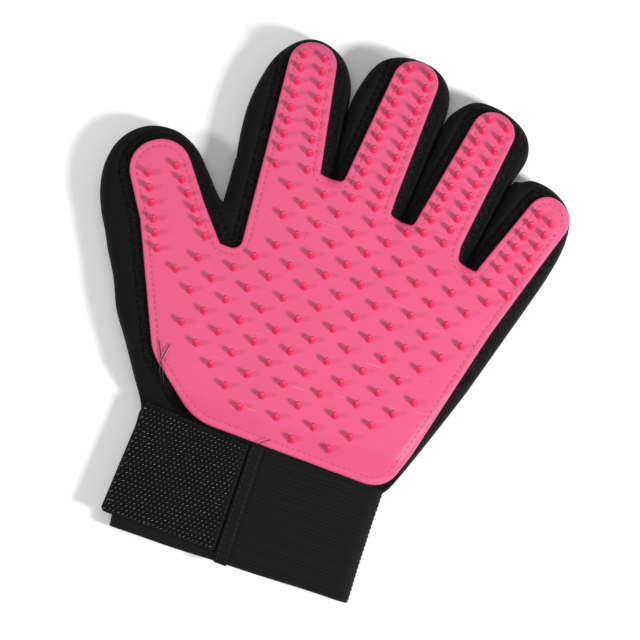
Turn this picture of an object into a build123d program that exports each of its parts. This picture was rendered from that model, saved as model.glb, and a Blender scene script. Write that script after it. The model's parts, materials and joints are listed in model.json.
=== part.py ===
from build123d import *
import math
import os

# A five-finger pet grooming glove for the left hand, lying on its back with the rubber pad up.
# +Y runs from the wrist to the fingertips, +X to the little finger, +Z out of the palm.
# Outlines are drawn in pattern coordinates, whose zero is the wrist's lower edge.
# Every node is then moved so that the frame's origin is under the middle of the glove.
PATTERN_MIDDLE = (-33.8, 117.8)

# Thicknesses and heights, in mm.
BACK_CLOTH = 2.0
CAVITY_TOP = 17.0
MESH_CLOTH = 1.2
PAD = 2.0
MESH_TOP = CAVITY_TOP + MESH_CLOTH
PAD_TOP = MESH_TOP + PAD
HINGE_GAP = 0.3

# Moulded rubber pins.
PIN_HEIGHT = 4.3
PIN_BASE_R = 1.25
PIN_TIP_R = 1.0
PIN_ROOT = 1.0
PIN_LEAN = 12.0

# The wrist cuff is a flattened tube of webbing.
CUFF_LENGTH = 51.0
CUFF_LEFT = -86.0
CUFF_RIGHT = 25.5
CUFF_HEIGHT = 11.0
WEBBING = 1.5
ELASTIC_END = -29.0
STRIP_WIDTH = 6.2
STRIP_THICKNESS = 1.2

# The hook-tape tab lies on the cuff and peels up about its sewn right edge.
TAB_LEFT = -89.0
TAB_RIGHT = -36.0
TAB_BOTTOM = 3.5
TAB_TOP = 50.5
TAB_REST = CUFF_HEIGHT + 0.3
TAB_BACKING = 0.8
HOOK_TAPE = 1.2

# Each finger: the middle of its base, its direction clockwise from +Y, the half width at its
# base, and its rounded tip (across, along, radius) seen from the base.
# The pad's lobe has its own left and right base corners and its own tip.
# Pins stand in two columns: how many rows and how far up the first and last stand, the columns'
# middle and half spacing at the base and at the last row, and rows that run on into the palm, as
# distance below the base.
FINGERS = {
    "thumb": {
        "base": (-102.4, 135.1), "angle": -32.0, "half": 25.5, "tip": (-1.1, 20.0, 22.0),
        "pad": (-10.6, 18.6), "pad_tip": (3.2, 19.3, 12.9),
        "rows": 3, "first_row": 5.3, "last_row": 18.5,
        "row_middles": (4.5, 4.3), "columns": (8.8, 6.4), "rows_into_palm": (1.8, 8.0, 14.8),
    },
    "index": {
        "base": (-59.4, 172.5), "angle": -6.5, "half": 21.5, "tip": (1.3, 39.1, 19.0),
        "pad": (-8.8, 16.6), "pad_tip": (3.8, 45.7, 10.0),
        "rows": 8, "first_row": 5.9, "last_row": 48.2,
        "row_middles": (3.9, 3.7), "columns": (6.7, 4.6), "rows_into_palm": (1.7,),
    },
    "middle": {
        "base": (-20.0, 173.5), "angle": 4.4, "half": 17.3, "tip": (-1.3, 43.1, 19.0),
        "pad": (-11.8, 11.9), "pad_tip": (0.4, 50.7, 9.7),
        "rows": 10, "first_row": 4.7, "last_row": 55.0,
        "row_middles": (-0.1, 0.9), "columns": (5.4, 4.9), "rows_into_palm": (1.7, 7.8),
    },
    "ring": {
        "base": (13.8, 163.2), "angle": 9.6, "half": 16.75, "tip": (-0.3, 46.7, 17.0),
        "pad": (-10.9, 11.5), "pad_tip": (1.0, 50.8, 9.2),
        "rows": 10, "first_row": 3.8, "last_row": 54.8,
        "row_middles": (-0.4, 1.3), "columns": (4.8, 4.3), "rows_into_palm": (2.9,),
    },
    "little": {
        "base": (44.7, 151.0), "angle": 19.5, "half": 15.6, "tip": (-3.4, 35.2, 15.0),
        "pad": (-10.1, 10.9), "pad_tip": (0.8, 35.9, 9.4),
        "rows": 6, "first_row": 4.8, "last_row": 34.3,
        "row_middles": (2.5, 0.1), "columns": (4.8, 3.3), "rows_into_palm": (2.6,),
    },
}

# The palm's staggered pins: one pin's place, the step along a row, the step to the next row,
# and the field that they fill. The rows draw together towards the fingers.
LATTICE_START = (-32.4, 108.7)
LATTICE_ALONG = (16.0, 0.73)
LATTICE_DOWN = (8.83, -6.82)
LATTICE_REACH = 12
LATTICE_MIDDLE = (-15.0, 110.0)
LATTICE_TAPER = 0.0006
ROW_GATHER = 0.0011
GATHER_START = 10.0
PIN_FIELD = [
    (-22, 55.5), (-47, 61), (-82, 90), (-84, 102), (-95, 112), (-84, 124.5), (-66, 126), (-57, 139),
    (-59, 168), (-35, 169), (-31, 163), (3, 163.5), (23, 150.5), (36, 151.5), (48, 144),
    (43, 119), (33, 106), (30, 86), (2, 57),
]


def closed_face(*curves):
    """A flat face inside curves that follow one another."""
    return make_face([edge for curve in curves for edge in curve.edges()])


def finger_place(finger):
    """The location of a finger's base, with local Y along the finger."""
    x, y = finger["base"]
    return Pos(x, y) * Rot(0, 0, -finger["angle"])


def on_palm(finger, across, along):
    """Pattern coordinates of a point given from the middle of a finger's base."""
    turn = math.radians(finger["angle"])
    x, y = finger["base"]
    return (
        x + across * math.cos(turn) + along * math.sin(turn),
        y - across * math.sin(turn) + along * math.cos(turn),
    )


def lobe(left, right, start, tip):
    """A finger-shaped face: straight sides from a base line to a round tip."""
    across, along, radius = tip
    tip_left, tip_right = (across - radius, along), (across + radius, along)
    return closed_face(
        Line((left, start), tip_left),
        ThreePointArc(tip_left, (across, along + radius), tip_right),
        Line(tip_right, (right, start)),
        Line((right, start), (left, start)),
    )


def finger_outline(finger, inset=0.0, start=HINGE_GAP):
    """The outside of a finger stall, or its inside when inset by the cloth."""
    across, along, radius = finger["tip"]
    half = finger["half"] - inset
    return lobe(-half, half, start, (across, along, radius - inset))


def palm_outline():
    """The black glove body from the wrist to the base lines of the fingers."""
    corners = []
    for name in ("thumb", "index", "middle", "ring", "little"):
        finger = FINGERS[name]
        corners.append(on_palm(finger, -finger["half"], -HINGE_GAP))
        corners.append(on_palm(finger, finger["half"], -HINGE_GAP))
        if name == "thumb":
            corners += [(-79.8, 150.0), (-80.0, 160.0)]
    wrist_left, wrist_right = (CUFF_LEFT, CUFF_LENGTH), (CUFF_RIGHT, CUFF_LENGTH)
    return closed_face(
        ThreePointArc(wrist_left, (-106.5, 84.0), corners[0]),
        Polyline(*corners),
        ThreePointArc(corners[-1], (46.5, 89.0), wrist_right),
        Line(wrist_right, wrist_left),
    )


def mouth(finger):
    """The way from the palm into a finger stall, as a cutting box."""
    width = 2 * (finger["half"] - BACK_CLOTH)
    box = Box(width, 12, CAVITY_TOP, align=(Align.CENTER, Align.CENTER, Align.MIN))
    return Pos(0, 0, BACK_CLOTH) * finger_place(finger) * box


def back_of_palm():
    """Smooth back cloth of the palm, turned up at both sides of the hand."""
    outline = palm_outline()
    body = extrude(outline, CAVITY_TOP)
    inside = Pos(0, 0, BACK_CLOTH) * extrude(offset(outline, -BACK_CLOTH), CAVITY_TOP)
    wrist_width = CUFF_RIGHT - CUFF_LEFT - 2 * BACK_CLOTH
    wrist = Pos((CUFF_LEFT + CUFF_RIGHT) / 2, CUFF_LENGTH, BACK_CLOTH) * Box(
        wrist_width, 12, CAVITY_TOP, align=(Align.CENTER, Align.CENTER, Align.MIN)
    )
    body = body - inside - wrist
    for finger in FINGERS.values():
        body = body - mouth(finger)
    return body


def back_of_finger(finger):
    """Smooth back cloth of one finger, wrapped up round its sides and tip."""
    body = extrude(finger_outline(finger), CAVITY_TOP)
    inner = finger_outline(finger, BACK_CLOTH, start=-BACK_CLOTH)
    inside = Pos(0, 0, BACK_CLOTH) * extrude(inner, CAVITY_TOP)
    return finger_place(finger) * (body - inside)


def mesh_of_palm():
    """Mesh cloth of the palm, turned down at the heel of the hand to meet the cuff."""
    sheet = Pos(0, 0, CAVITY_TOP) * extrude(palm_outline(), MESH_CLOTH)
    heel_bottom = CUFF_HEIGHT + 0.5
    heel = Pos((CUFF_LEFT + CUFF_RIGHT) / 2, CUFF_LENGTH, heel_bottom) * Box(
        CUFF_RIGHT - CUFF_LEFT - 2 * BACK_CLOTH - 1,
        MESH_CLOTH,
        CAVITY_TOP - heel_bottom,
        align=(Align.CENTER, Align.MIN, Align.MIN),
    )
    return sheet + heel


def mesh_of_finger(finger):
    """Mesh cloth on the palm side of one finger."""
    sheet = Pos(0, 0, CAVITY_TOP) * extrude(finger_outline(finger), MESH_CLOTH)
    return finger_place(finger) * sheet


def pad_palm_outline():
    """The pad's palm: rounded heel corners, and round-cornered slots between the fingers."""
    corner = {}
    for name, finger in FINGERS.items():
        left, right = finger["pad"]
        corner[name] = [on_palm(finger, left, -HINGE_GAP), on_palm(finger, right, -HINGE_GAP)]
    points_and_radii = [
        ((-62.0, 54.4), 24), ((-87.4, 75.8), 22),
        (corner["thumb"][0], 0), (corner["thumb"][1], 0),
        ((-74.6, 130.2), 1.2), ((-65.4, 129.8), 4), (corner["index"][0], 0), (corner["index"][1], 0),
        ((-42.9, 172.7), 0.8), ((-32.5, 172.4), 1.2), (corner["middle"][0], 0),
        (corner["middle"][1], 0), ((-8.2, 164.8), 1.6), ((2.0, 163.3), 0.8),
        (corner["ring"][0], 0), (corner["ring"][1], 0),
        ((25.8, 155.0), 1.2), ((34.8, 152.5), 0.8),
        (corner["little"][0], 0), (corner["little"][1], 0),
        ((48.6, 128.0), 60), ((32.4, 68.0), 40), ((25.8, 50.6), 22),
    ]
    points = [point for point, _ in points_and_radii]
    radii = [radius for _, radius in points_and_radii]
    return make_face(FilletPolyline(*points, radius=radii, close=True))


def pin():
    """One moulded pin with a round tip, standing on z = 0 with its root below."""
    shoulder = PIN_HEIGHT - PIN_TIP_R
    slant = PIN_TIP_R * math.sqrt(0.5)
    profile = closed_face(
        Line((0, -PIN_ROOT), (PIN_BASE_R, -PIN_ROOT)),
        Line((PIN_BASE_R, -PIN_ROOT), (PIN_TIP_R, shoulder)),
        ThreePointArc((PIN_TIP_R, shoulder), (slant, shoulder + slant), (0, PIN_HEIGHT)),
        Line((0, PIN_HEIGHT), (0, -PIN_ROOT)),
    )
    return Rot(-PIN_LEAN, 0, 0) * revolve(Plane.XZ * profile, Axis.Z)


def pin_pair(finger, along):
    """The two pins of one row, whose columns draw together towards the tip."""
    share = along / finger["last_row"]
    middle_at_base, middle_at_tip = finger["row_middles"]
    half_at_base, half_at_tip = finger["columns"]
    middle = middle_at_base + (middle_at_tip - middle_at_base) * share
    half = half_at_base + (half_at_tip - half_at_base) * share
    return [on_palm(finger, middle + side * half, along) for side in (-1, 1)]


def finger_pin_places(finger):
    """Pins of one finger, evenly spaced from its first row to its last."""
    step = (finger["last_row"] - finger["first_row"]) / (finger["rows"] - 1)
    places = []
    for row in range(finger["rows"]):
        places += pin_pair(finger, finger["first_row"] + row * step)
    return places


def inside_field(x, y):
    """True where a point lies in the palm's pin field."""
    crossings = 0
    for (ax, ay), (bx, by) in zip(PIN_FIELD, PIN_FIELD[1:] + PIN_FIELD[:1]):
        if (ay > y) != (by > y) and x < ax + (y - ay) * (bx - ax) / (by - ay):
            crossings += 1
    return crossings % 2 == 1


def gathered(x, y):
    """A lattice point drawn in towards the middle and down, more so towards the fingers."""
    across, up = x - LATTICE_MIDDLE[0], y - LATTICE_MIDDLE[1]
    beyond = max(up - GATHER_START, 0)
    return (x - LATTICE_TAPER * across * up, y - ROW_GATHER * beyond**2)


def palm_pin_places():
    """Staggered pins of the palm, and the finger rows that run on into it."""
    places = []
    for i in range(-LATTICE_REACH, LATTICE_REACH + 1):
        for j in range(-LATTICE_REACH, LATTICE_REACH + 1):
            x = LATTICE_START[0] + i * LATTICE_ALONG[0] + j * LATTICE_DOWN[0]
            y = LATTICE_START[1] + i * LATTICE_ALONG[1] + j * LATTICE_DOWN[1]
            if inside_field(x, y):
                places.append(gathered(x, y))
    for finger in FINGERS.values():
        for below in finger["rows_into_palm"]:
            places += pin_pair(finger, -below)
    return places


def rubber_sheet(outline, places):
    """A rubber sheet of the given outline with its pins moulded on."""
    sheet = Pos(0, 0, MESH_TOP) * extrude(outline, PAD)
    one_pin = pin()
    pins = [Pos(x, y, PAD_TOP) * one_pin for x, y in places]
    return sheet.fuse(*pins)


def pad_of_finger(finger):
    """One finger's lobe of the rubber pad."""
    left, right = finger["pad"]
    outline = finger_place(finger) * lobe(left, right, HINGE_GAP, finger["pad_tip"])
    return rubber_sheet(outline, finger_pin_places(finger))


def cuff_profile():
    """The ring section of the flattened webbing tube, looking along the arm."""
    width = CUFF_RIGHT - CUFF_LEFT
    outer = SlotOverall(width, CUFF_HEIGHT)
    inner = SlotOverall(width - 2 * WEBBING, CUFF_HEIGHT - 2 * WEBBING)
    return Pos((CUFF_LEFT + CUFF_RIGHT) / 2, CUFF_HEIGHT / 2) * (outer - inner)


def cuff_tube():
    """The whole cuff as one tube of webbing, from the wrist edge to the heel of the hand."""
    standing = Rot(90, 0, 0) * cuff_profile()
    return extrude(standing, CUFF_LENGTH, dir=(0, 1, 0))


def cuff_cutter():
    """The part of the cuff that belongs to the strap end on the thumb side."""
    fold = CUFF_HEIGHT / 2
    front = Pos(CUFF_LEFT - 1, -1, fold) * Box(
        ELASTIC_END - CUFF_LEFT + 1, CUFF_LENGTH + 2, CUFF_HEIGHT, align=Align.MIN
    )
    side = Pos(CUFF_LEFT - 1, -1, -1) * Box(fold + 1, CUFF_LENGTH + 2, fold + 1, align=Align.MIN)
    return front + side


def joining_strip():
    """The sewn strip between the elastic and the tab."""
    left = ELASTIC_END - STRIP_WIDTH
    return Pos(left, 0, CUFF_HEIGHT) * Box(
        STRIP_WIDTH, CUFF_LENGTH, STRIP_THICKNESS, align=Align.MIN
    )


def tab_layer(bottom, thickness):
    """One layer of the closure tab."""
    size = (TAB_RIGHT - TAB_LEFT, TAB_TOP - TAB_BOTTOM, thickness)
    return Pos(TAB_LEFT, TAB_BOTTOM, bottom) * Box(*size, align=Align.MIN)


def build_nodes():
    """Every separate piece of the glove, in pattern coordinates."""
    nodes = {
        "back_palm": back_of_palm(),
        "mesh_palm": mesh_of_palm(),
        "pad_palm": rubber_sheet(pad_palm_outline(), palm_pin_places()),
        "cuff_elastic_band": cuff_tube() - cuff_cutter(),
        "cuff_strap_end": cuff_tube() & cuff_cutter(),
        "cuff_joining_strip": joining_strip(),
        "tab_backing": tab_layer(TAB_REST, TAB_BACKING),
        "tab_hook_tape": tab_layer(TAB_REST + TAB_BACKING, HOOK_TAPE),
    }
    for name, finger in FINGERS.items():
        nodes["back_" + name] = back_of_finger(finger)
        nodes["mesh_" + name] = mesh_of_finger(finger)
        nodes["pad_" + name] = pad_of_finger(finger)
    return nodes


os.makedirs("parts", exist_ok=True)
to_frame = Pos(-PATTERN_MIDDLE[0], -PATTERN_MIDDLE[1], 0)
for node_name, shape in build_nodes().items():
    export_step(to_frame * shape, f"parts/{node_name}.step")
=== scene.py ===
# %% [markdown]
# # A pet grooming glove, palm up
# This lesson dresses a imported frame of plain solids as a five-finger grooming glove: a limp black
# cloth glove, a moulded rubber pad full of soft pins, and an elastic cuff that closes with hook tape.
# The frame comes first: the palm's and the cuff's pieces ride on its hand and the tab's on its closure
# tab, while the fingers' pieces are baked in place and left unattached.

# %% Load the frame
import json
import math
import random

import bpy
import numpy as np
from mathutils import Matrix, Vector, noise
from mathutils.geometry import delaunay_2d_cdt


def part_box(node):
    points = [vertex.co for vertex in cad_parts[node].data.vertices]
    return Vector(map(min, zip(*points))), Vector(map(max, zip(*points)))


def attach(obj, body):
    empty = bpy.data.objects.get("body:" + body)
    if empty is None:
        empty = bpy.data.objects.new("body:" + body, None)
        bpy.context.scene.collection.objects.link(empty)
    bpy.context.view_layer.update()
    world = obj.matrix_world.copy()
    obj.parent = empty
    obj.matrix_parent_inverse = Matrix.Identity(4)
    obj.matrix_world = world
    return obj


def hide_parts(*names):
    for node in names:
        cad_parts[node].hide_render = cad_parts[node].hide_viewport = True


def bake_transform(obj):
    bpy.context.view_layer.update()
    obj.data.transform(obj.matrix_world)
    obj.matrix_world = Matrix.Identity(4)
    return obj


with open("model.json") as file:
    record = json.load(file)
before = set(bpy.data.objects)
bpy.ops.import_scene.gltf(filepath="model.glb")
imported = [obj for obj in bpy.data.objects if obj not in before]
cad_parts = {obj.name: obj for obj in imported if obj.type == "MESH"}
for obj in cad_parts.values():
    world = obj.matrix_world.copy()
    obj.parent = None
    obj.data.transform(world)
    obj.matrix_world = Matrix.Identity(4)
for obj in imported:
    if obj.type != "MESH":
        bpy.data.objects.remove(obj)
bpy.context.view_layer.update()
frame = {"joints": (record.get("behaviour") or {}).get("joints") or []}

# %% [markdown]
# ## Millimetres on the pattern
# A glove maker works on a flat pattern in millimetres, measured from the wrist's lower edge. The cuff
# of the frame tells where that zero is, so every later number can be read as a maker's measure, and
# one function turns pattern millimetres into metres in the frame.

# %% Pattern coordinates
MM = 0.001
CUFF_RIGHT = 25.5
CUFF_LEFT = -86.0
CUFF_LENGTH = 51.0
elastic_low, elastic_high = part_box("cuff_elastic_band")
ZERO = np.array([elastic_high.x / MM - CUFF_RIGHT, elastic_low.y / MM, 0.0])


def to_frame(points):
    """Pattern millimetres to frame metres, for one point or for many."""
    return (np.asarray(points, float) + ZERO) * MM


def to_pattern(point):
    """Frame metres to pattern millimetres."""
    return np.asarray(point, float) / MM - ZERO


print("pattern zero in the frame, mm:", ZERO.round(2))

# %% [markdown]
# ## Where the fingers hinge
# Each finger bends about a hinge across its base. The frame's joints give that line, so the cloth and
# the pad can be cut exactly there. A finger's own measures run across (t) and along (s) from the
# middle of its base.

# %% Finger hinges
FINGER_NAMES = ("thumb", "index", "middle", "ring", "little")
hinges = {}
for joint in frame["joints"]:
    if joint["child"] in FINGER_NAMES:
        base = to_pattern(joint["pos_m"])[:2]
        across = np.array(joint["axis"][:2])
        hinges[joint["child"]] = (base, across, np.array([-across[1], across[0]]))


def on_palm(name, t, s):
    """Pattern place of a point t across and s along a finger."""
    base, across, along = hinges[name]
    return base + t * across + s * along


print({name: hinge[0].round(1).tolist() for name, hinge in hinges.items()})

# %% [markdown]
# ## Round-cornered outlines
# A rubber pad is cut with a die whose corners are arcs. Blender could bevel the corners of a curve,
# but here the outline is needed as plain points for measuring distances, so the arcs are worked out
# from the corner points and their radii and then spaced evenly.

# %% Outline helpers
def spaced(points, step, closed=True):
    """The same path with points a fixed step apart."""
    points = np.asarray(points, float)
    path = np.vstack([points, points[:1]]) if closed else points
    lengths = np.linalg.norm(np.diff(path, axis=0), axis=1)
    travelled = np.concatenate([[0.0], np.cumsum(lengths)])
    count = max(2, int(round(travelled[-1] / step)))
    wanted = np.linspace(0.0, travelled[-1], count + 1)
    if closed:
        wanted = wanted[:-1]
    return np.column_stack([np.interp(wanted, travelled, path[:, axis]) for axis in (0, 1)])


def rounded(corners, step=1.0):
    """A closed outline with an arc at each corner, from corner points and radii."""
    path = []
    places = [np.array(point, float) for point, _ in corners]
    for i, (_, radius) in enumerate(corners):
        here = places[i]
        back = places[i - 1] - here
        ahead = places[(i + 1) % len(places)] - here
        room = min(np.linalg.norm(back), np.linalg.norm(ahead)) * 0.5
        back /= np.linalg.norm(back)
        ahead /= np.linalg.norm(ahead)
        half_angle = math.acos(float(np.clip(back @ ahead, -1, 1))) / 2
        reach = min(radius / math.tan(half_angle), room) if radius else 0.0
        if reach < 0.05:
            path.append(here)
            continue
        centre_line = (back + ahead) / np.linalg.norm(back + ahead)
        centre = here + centre_line * reach / math.cos(half_angle)
        start = here + back * reach - centre
        turn = math.pi - 2 * half_angle
        side = 1.0 if start[1] * back[0] - start[0] * back[1] > 0 else -1.0
        for k in range(9):
            angle = side * turn * k / 8
            cos, sin = math.cos(angle), math.sin(angle)
            path.append(centre + (start[0] * cos - start[1] * sin, start[0] * sin + start[1] * cos))
    return spaced(path, step)


def smooth_line(points, step=1.0):
    """An open flowing line through points, as a draughtsperson's spline."""
    points = np.asarray(points, float)
    padded = np.vstack([2 * points[0] - points[1], points, 2 * points[-1] - points[-2]])
    path = []
    for p0, p1, p2, p3 in zip(padded, padded[1:], padded[2:], padded[3:]):
        for k in range(8):
            t = k / 8
            path.append(0.5 * (2 * p1 + (p2 - p0) * t + (2 * p0 - 5 * p1 + 4 * p2 - p3) * t * t
                               + (3 * p1 - p0 - 3 * p2 + p3) * t ** 3))
    path.append(points[-1])
    return spaced(path, step, closed=False)


def nearest(points, loop, closed=True):
    """Distance from each point to a path, and how far along the path the nearest place is."""
    points = np.asarray(points, float)
    a = np.asarray(loop, float)
    b = np.roll(a, -1, axis=0)
    if not closed:
        a, b = a[:-1], b[:-1]
    edge = b - a
    length = np.linalg.norm(edge, axis=1)
    start = np.concatenate([[0.0], np.cumsum(length)[:-1]])
    distance, travelled = np.empty(len(points)), np.empty(len(points))
    for k in range(0, len(points), 1500):
        offset = points[k:k + 1500, None, :] - a[None]
        share = np.clip((offset * edge).sum(2) / np.maximum(length ** 2, 1e-12), 0, 1)
        gap = np.linalg.norm(offset - share[..., None] * edge, axis=2)
        best = gap.argmin(1)
        rows = np.arange(len(best))
        distance[k:k + 1500] = gap[rows, best]
        travelled[k:k + 1500] = start[best] + share[rows, best] * length[best]
    return distance, travelled


def inside(points, loop):
    """True where a point lies inside a closed path."""
    points, loop = np.asarray(points, float), np.asarray(loop, float)
    found = np.zeros(len(points), bool)
    for (ax, ay), (bx, by) in zip(loop, np.roll(loop, -1, axis=0)):
        if ay == by:
            continue
        crosses = (ay > points[:, 1]) != (by > points[:, 1])
        found ^= crosses & (points[:, 0] < ax + (points[:, 1] - ay) * (bx - ax) / (by - ay))
    return found


def beside(loop, offset):
    """Points beside a clockwise path: positive offsets lie inside it."""
    ahead = np.roll(loop, -1, axis=0) - np.roll(loop, 1, axis=0)
    ahead /= np.maximum(np.linalg.norm(ahead, axis=1), 1e-9)[:, None]
    return loop + offset * np.column_stack([ahead[:, 1], -ahead[:, 0]])


# %% [markdown]
# ## The pad's outline
# The rubber pad is one moulded sheet in the shape of a hand. Each finger's lobe is two square corners
# rounded until they meet, which gives its round tip; the slots between the fingers end in small
# radii, and the heel sweeps round in large ones.

# %% Pad outline
LOBES = {
    "thumb": (-10.0, 18.6, (3.5, 19.4, 13.0)),
    "index": (-8.8, 16.6, (3.7, 45.4, 10.0)),
    "middle": (-11.8, 11.9, (0.4, 50.8, 9.7)),
    "ring": (-10.9, 11.5, (1.0, 50.9, 9.2)),
    "little": (-10.1, 10.9, (0.8, 35.9, 9.4)),
}


def lobe(name):
    """Corners of one finger's lobe, from its left base to its right base."""
    left, right, (t, s, radius) = LOBES[name]
    return [
        (on_palm(name, left, 0), 6),
        (on_palm(name, t - radius, s + radius), radius),
        (on_palm(name, t + radius, s + radius), radius),
        (on_palm(name, right, 0), 6),
    ]


pad_outline = rounded(
    [((-62.0, 54.2), 26), ((-87.4, 75.8), 24)]
    + lobe("thumb")
    + [((-74.6, 130.2), 1.6), ((-65.4, 129.8), 4)]
    + lobe("index")
    + [((-42.9, 172.7), 1.6), ((-32.5, 172.4), 1.6)]
    + lobe("middle")
    + [((-8.2, 164.8), 1.8), ((2.0, 163.3), 1.6)]
    + lobe("ring")
    + [((25.8, 155.0), 1.8), ((34.8, 152.5), 1.6)]
    + lobe("little")
    + [((48.6, 128.0), 60), ((32.4, 68.0), 40), ((25.6, 50.2), 29)]
)
print("pad outline points:", len(pad_outline))
print("pad outline from", pad_outline.min(0).round(1), "to", pad_outline.max(0).round(1))

# %% [markdown]
# ## The cloth glove's outline
# The black glove is wider than the pad, and wider on the thumb side of every finger. Its fingers are
# full enough to press together, so between two fingers the outline runs down a narrow crease to the
# lower hinge line. That leaves each finger free to bend on its own.

# %% Cloth outline
CREASE = 0.02
CROTCH = {"middle": (-40.4, 205.0), "ring": (1.3, 211.0), "little": (37.3, 195.0)}
CREASE_END = {"middle": (-37.6, 174.6), "ring": (-2.7, 165.8), "little": (30.1, 156.0)}
TIPS = {
    "thumb": [(-124.7, 121.4), (-129.2, 129.5), (-132.8, 138.7), (-134.4, 149.3), (-132.7, 159.6),
              (-127.4, 167.6), (-119.2, 172.5), (-108.3, 173.2), (-98.2, 168.6), (-90.0, 160.2),
              (-84.2, 153.4), (-80.2, 149.2)],
    "index": [(-80.5, 170.0), (-82.0, 180.0), (-82.9, 193.0), (-81.6, 206.0), (-78.3, 217.8), (-72.4, 226.3),
              (-65.3, 230.5), (-57.7, 230.4), (-49.0, 225.9), (-42.9, 216.8)],
    "middle": [(-38.8, 217.4), (-34.6, 228.5), (-27.6, 234.2), (-17.0, 235.9), (-6.9, 233.2), (0.0, 225.0)],
    "ring": [(4.4, 219.0), (12.4, 226.0), (25.6, 225.3), (36.9, 219.0), (40.8, 208.8)],
    "little": [(41.6, 198.2), (46.9, 200.3), (55.2, 198.9), (62.8, 194.3), (66.9, 187.5), (67.7, 176.0),
               (64.8, 161.0), (60.2, 145.4)],
}
LEFT_EDGE = [(-84.4, 48.6), (-86.6, 55.6), (-92.7, 65.0), (-101.6, 79.0), (-109.0, 90.0), (-114.8, 103.0),
             (-121.0, 114.0), (-124.7, 121.4)]
RIGHT_EDGE = [(60.2, 145.4), (57.2, 135.8), (52.1, 119.4), (46.5, 101.6), (39.2, 81.4),
              (33.6, 66.6), (30.0, 57.6), (27.0, 51.6), (24.2, 48.6)]


def crease(name, side):
    """One bank of the crease beside a finger, listed from the crotch down."""
    top, end = np.array(CROTCH[name]), np.array(CREASE_END[name])
    shift = np.array([side * CREASE, 0.0])
    middle = (top + end) / 2 + shift * 1.4
    return [top + shift, middle, end + shift * 0.7]


finger_edges = {}
for name in FINGER_NAMES:
    points = list(TIPS[name])
    if name in CREASE_END:
        points = crease(name, +1)[::-1] + points
    following = {"index": "middle", "middle": "ring", "ring": "little"}.get(name)
    if following:
        points = points + crease(following, -1)
    finger_edges[name] = smooth_line(points)

THUMB_NOTCH = [(-79.6, 149.6)]
INDEX_SIDE = [(-79.8, 150.6), (-80.2, 160.0), (-80.8, 170.0)]
cloth_outline = np.vstack([
    smooth_line(LEFT_EDGE)[:-1],
    finger_edges["thumb"][:-1],
    THUMB_NOTCH,
    smooth_line(INDEX_SIDE)[:-1],
    finger_edges["index"],
    finger_edges["middle"],
    finger_edges["ring"],
    finger_edges["little"][:-1],
    smooth_line(RIGHT_EDGE),
])
side_edge = cloth_outline.copy()
wrist_edge = spaced([cloth_outline[-1], cloth_outline[0]], 1.6, closed=False)[1:-1]
cloth_outline = np.vstack([cloth_outline, wrist_edge])
print("cloth outline points:", len(cloth_outline))

# %% [markdown]
# ## How high the glove stands
# Laid down empty, the glove is a low pillow: flat on the table, rounded at its edges, and drawn in at
# the heel where the cuff holds it. One function gives that height from the distance to the edge, so
# the cloth and the pad agree everywhere. A little noise keeps it from looking machined.

# %% Height of the cloth and the pad
MIDDLE_HEIGHT = 9.1
CLOTH_TOP = 18.2
PAD_THICKNESS = 2.0
HEEL_LOW = 53.5
HEEL_HIGH = 66.0
PALM_ROUNDING = 7.5
BACK_ROUNDING = 10.0
CLOTH_HEEL = 9.2
PAD_HEEL = 14.4
WRIST_DROP = 3.6
WRIST_LOW, WRIST_HIGH = 49, 60


def smoothstep(value, low, high):
    """0 below low, 1 above high, and a smooth rise between them."""
    t = np.clip((np.asarray(value, float) - low) / (high - low), 0, 1)
    return t * t * (3 - 2 * t)


def ripple(points, size, seed):
    """Smooth noise between -1 and 1 over the pattern, for cloth that isn't quite flat."""
    shift = Vector((seed * 17.3, seed * 5.1, seed * 2.7))
    return np.array([noise.noise(Vector((x / size, y / size, 0.0)) + shift) for x, y in points])


def bulge(distance, rounding):
    """Share of the full height at a distance from the edge."""
    t = np.clip(1 - distance / rounding, 0, 1)
    return np.sqrt(np.maximum(1 - t * t, 0))


def palm_height(points, heel_height):
    """Height of the palm side, before wrinkles. The heel comes down to meet the cuff."""
    distance, _ = nearest(points, side_edge, closed=False)
    y = points[:, 1]
    full = heel_height + (CLOTH_TOP - heel_height) * smoothstep(y, HEEL_LOW, HEEL_HIGH)
    wrist = MIDDLE_HEIGHT - WRIST_DROP * (1 - smoothstep(y, WRIST_LOW, WRIST_HIGH))
    soft = 0.22 * ripple(points, 26.0, 1) - 0.25
    return wrist + (full + soft - wrist) * bulge(distance, PALM_ROUNDING)


def back_height(points):
    """Height of the back of the hand, which lies on the table."""
    distance, _ = nearest(points, side_edge, closed=False)
    y = points[:, 1]
    full = 1.9 * (1 - smoothstep(y, 49, 54))
    wrist = MIDDLE_HEIGHT - WRIST_DROP * (1 - smoothstep(y, WRIST_LOW, WRIST_HIGH))
    return wrist + (full - wrist) * bulge(distance, BACK_ROUNDING)


# %% [markdown]
# ## Filling an outline with a mesh
# A flat shape with slots and creases is hard to cover with neat quads. Constrained Delaunay
# triangulation is the tool for it: it takes the outline, extra lines that the mesh must follow, and a
# cloud of points, and returns triangles that honour them all. Points stand close together where the
# surface rounds over and further apart where it is flat.

# %% Triangulate
def thin_out(groups, gap):
    """Points from several groups in order, dropping any that come too close to an earlier one."""
    kept, cells = [], {}
    for points in groups:
        for x, y in points:
            i, j = int(x // gap), int(y // gap)
            close = any(
                (x - qx) ** 2 + (y - qy) ** 2 < gap * gap
                for a in (-1, 0, 1) for b in (-1, 0, 1) for qx, qy in cells.get((i + a, j + b), ())
            )
            if not close:
                cells.setdefault((i, j), []).append((x, y))
                kept.append((x, y))
    return kept


def hexagonal(low, high, pitch):
    """A triangular grid of points over a rectangle."""
    rows = np.arange(low[1], high[1], pitch * 0.866)
    columns = np.arange(low[0], high[0], pitch)
    return np.array([(x + (k % 2) * pitch / 2, y) for k, y in enumerate(rows) for x in columns])


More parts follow.
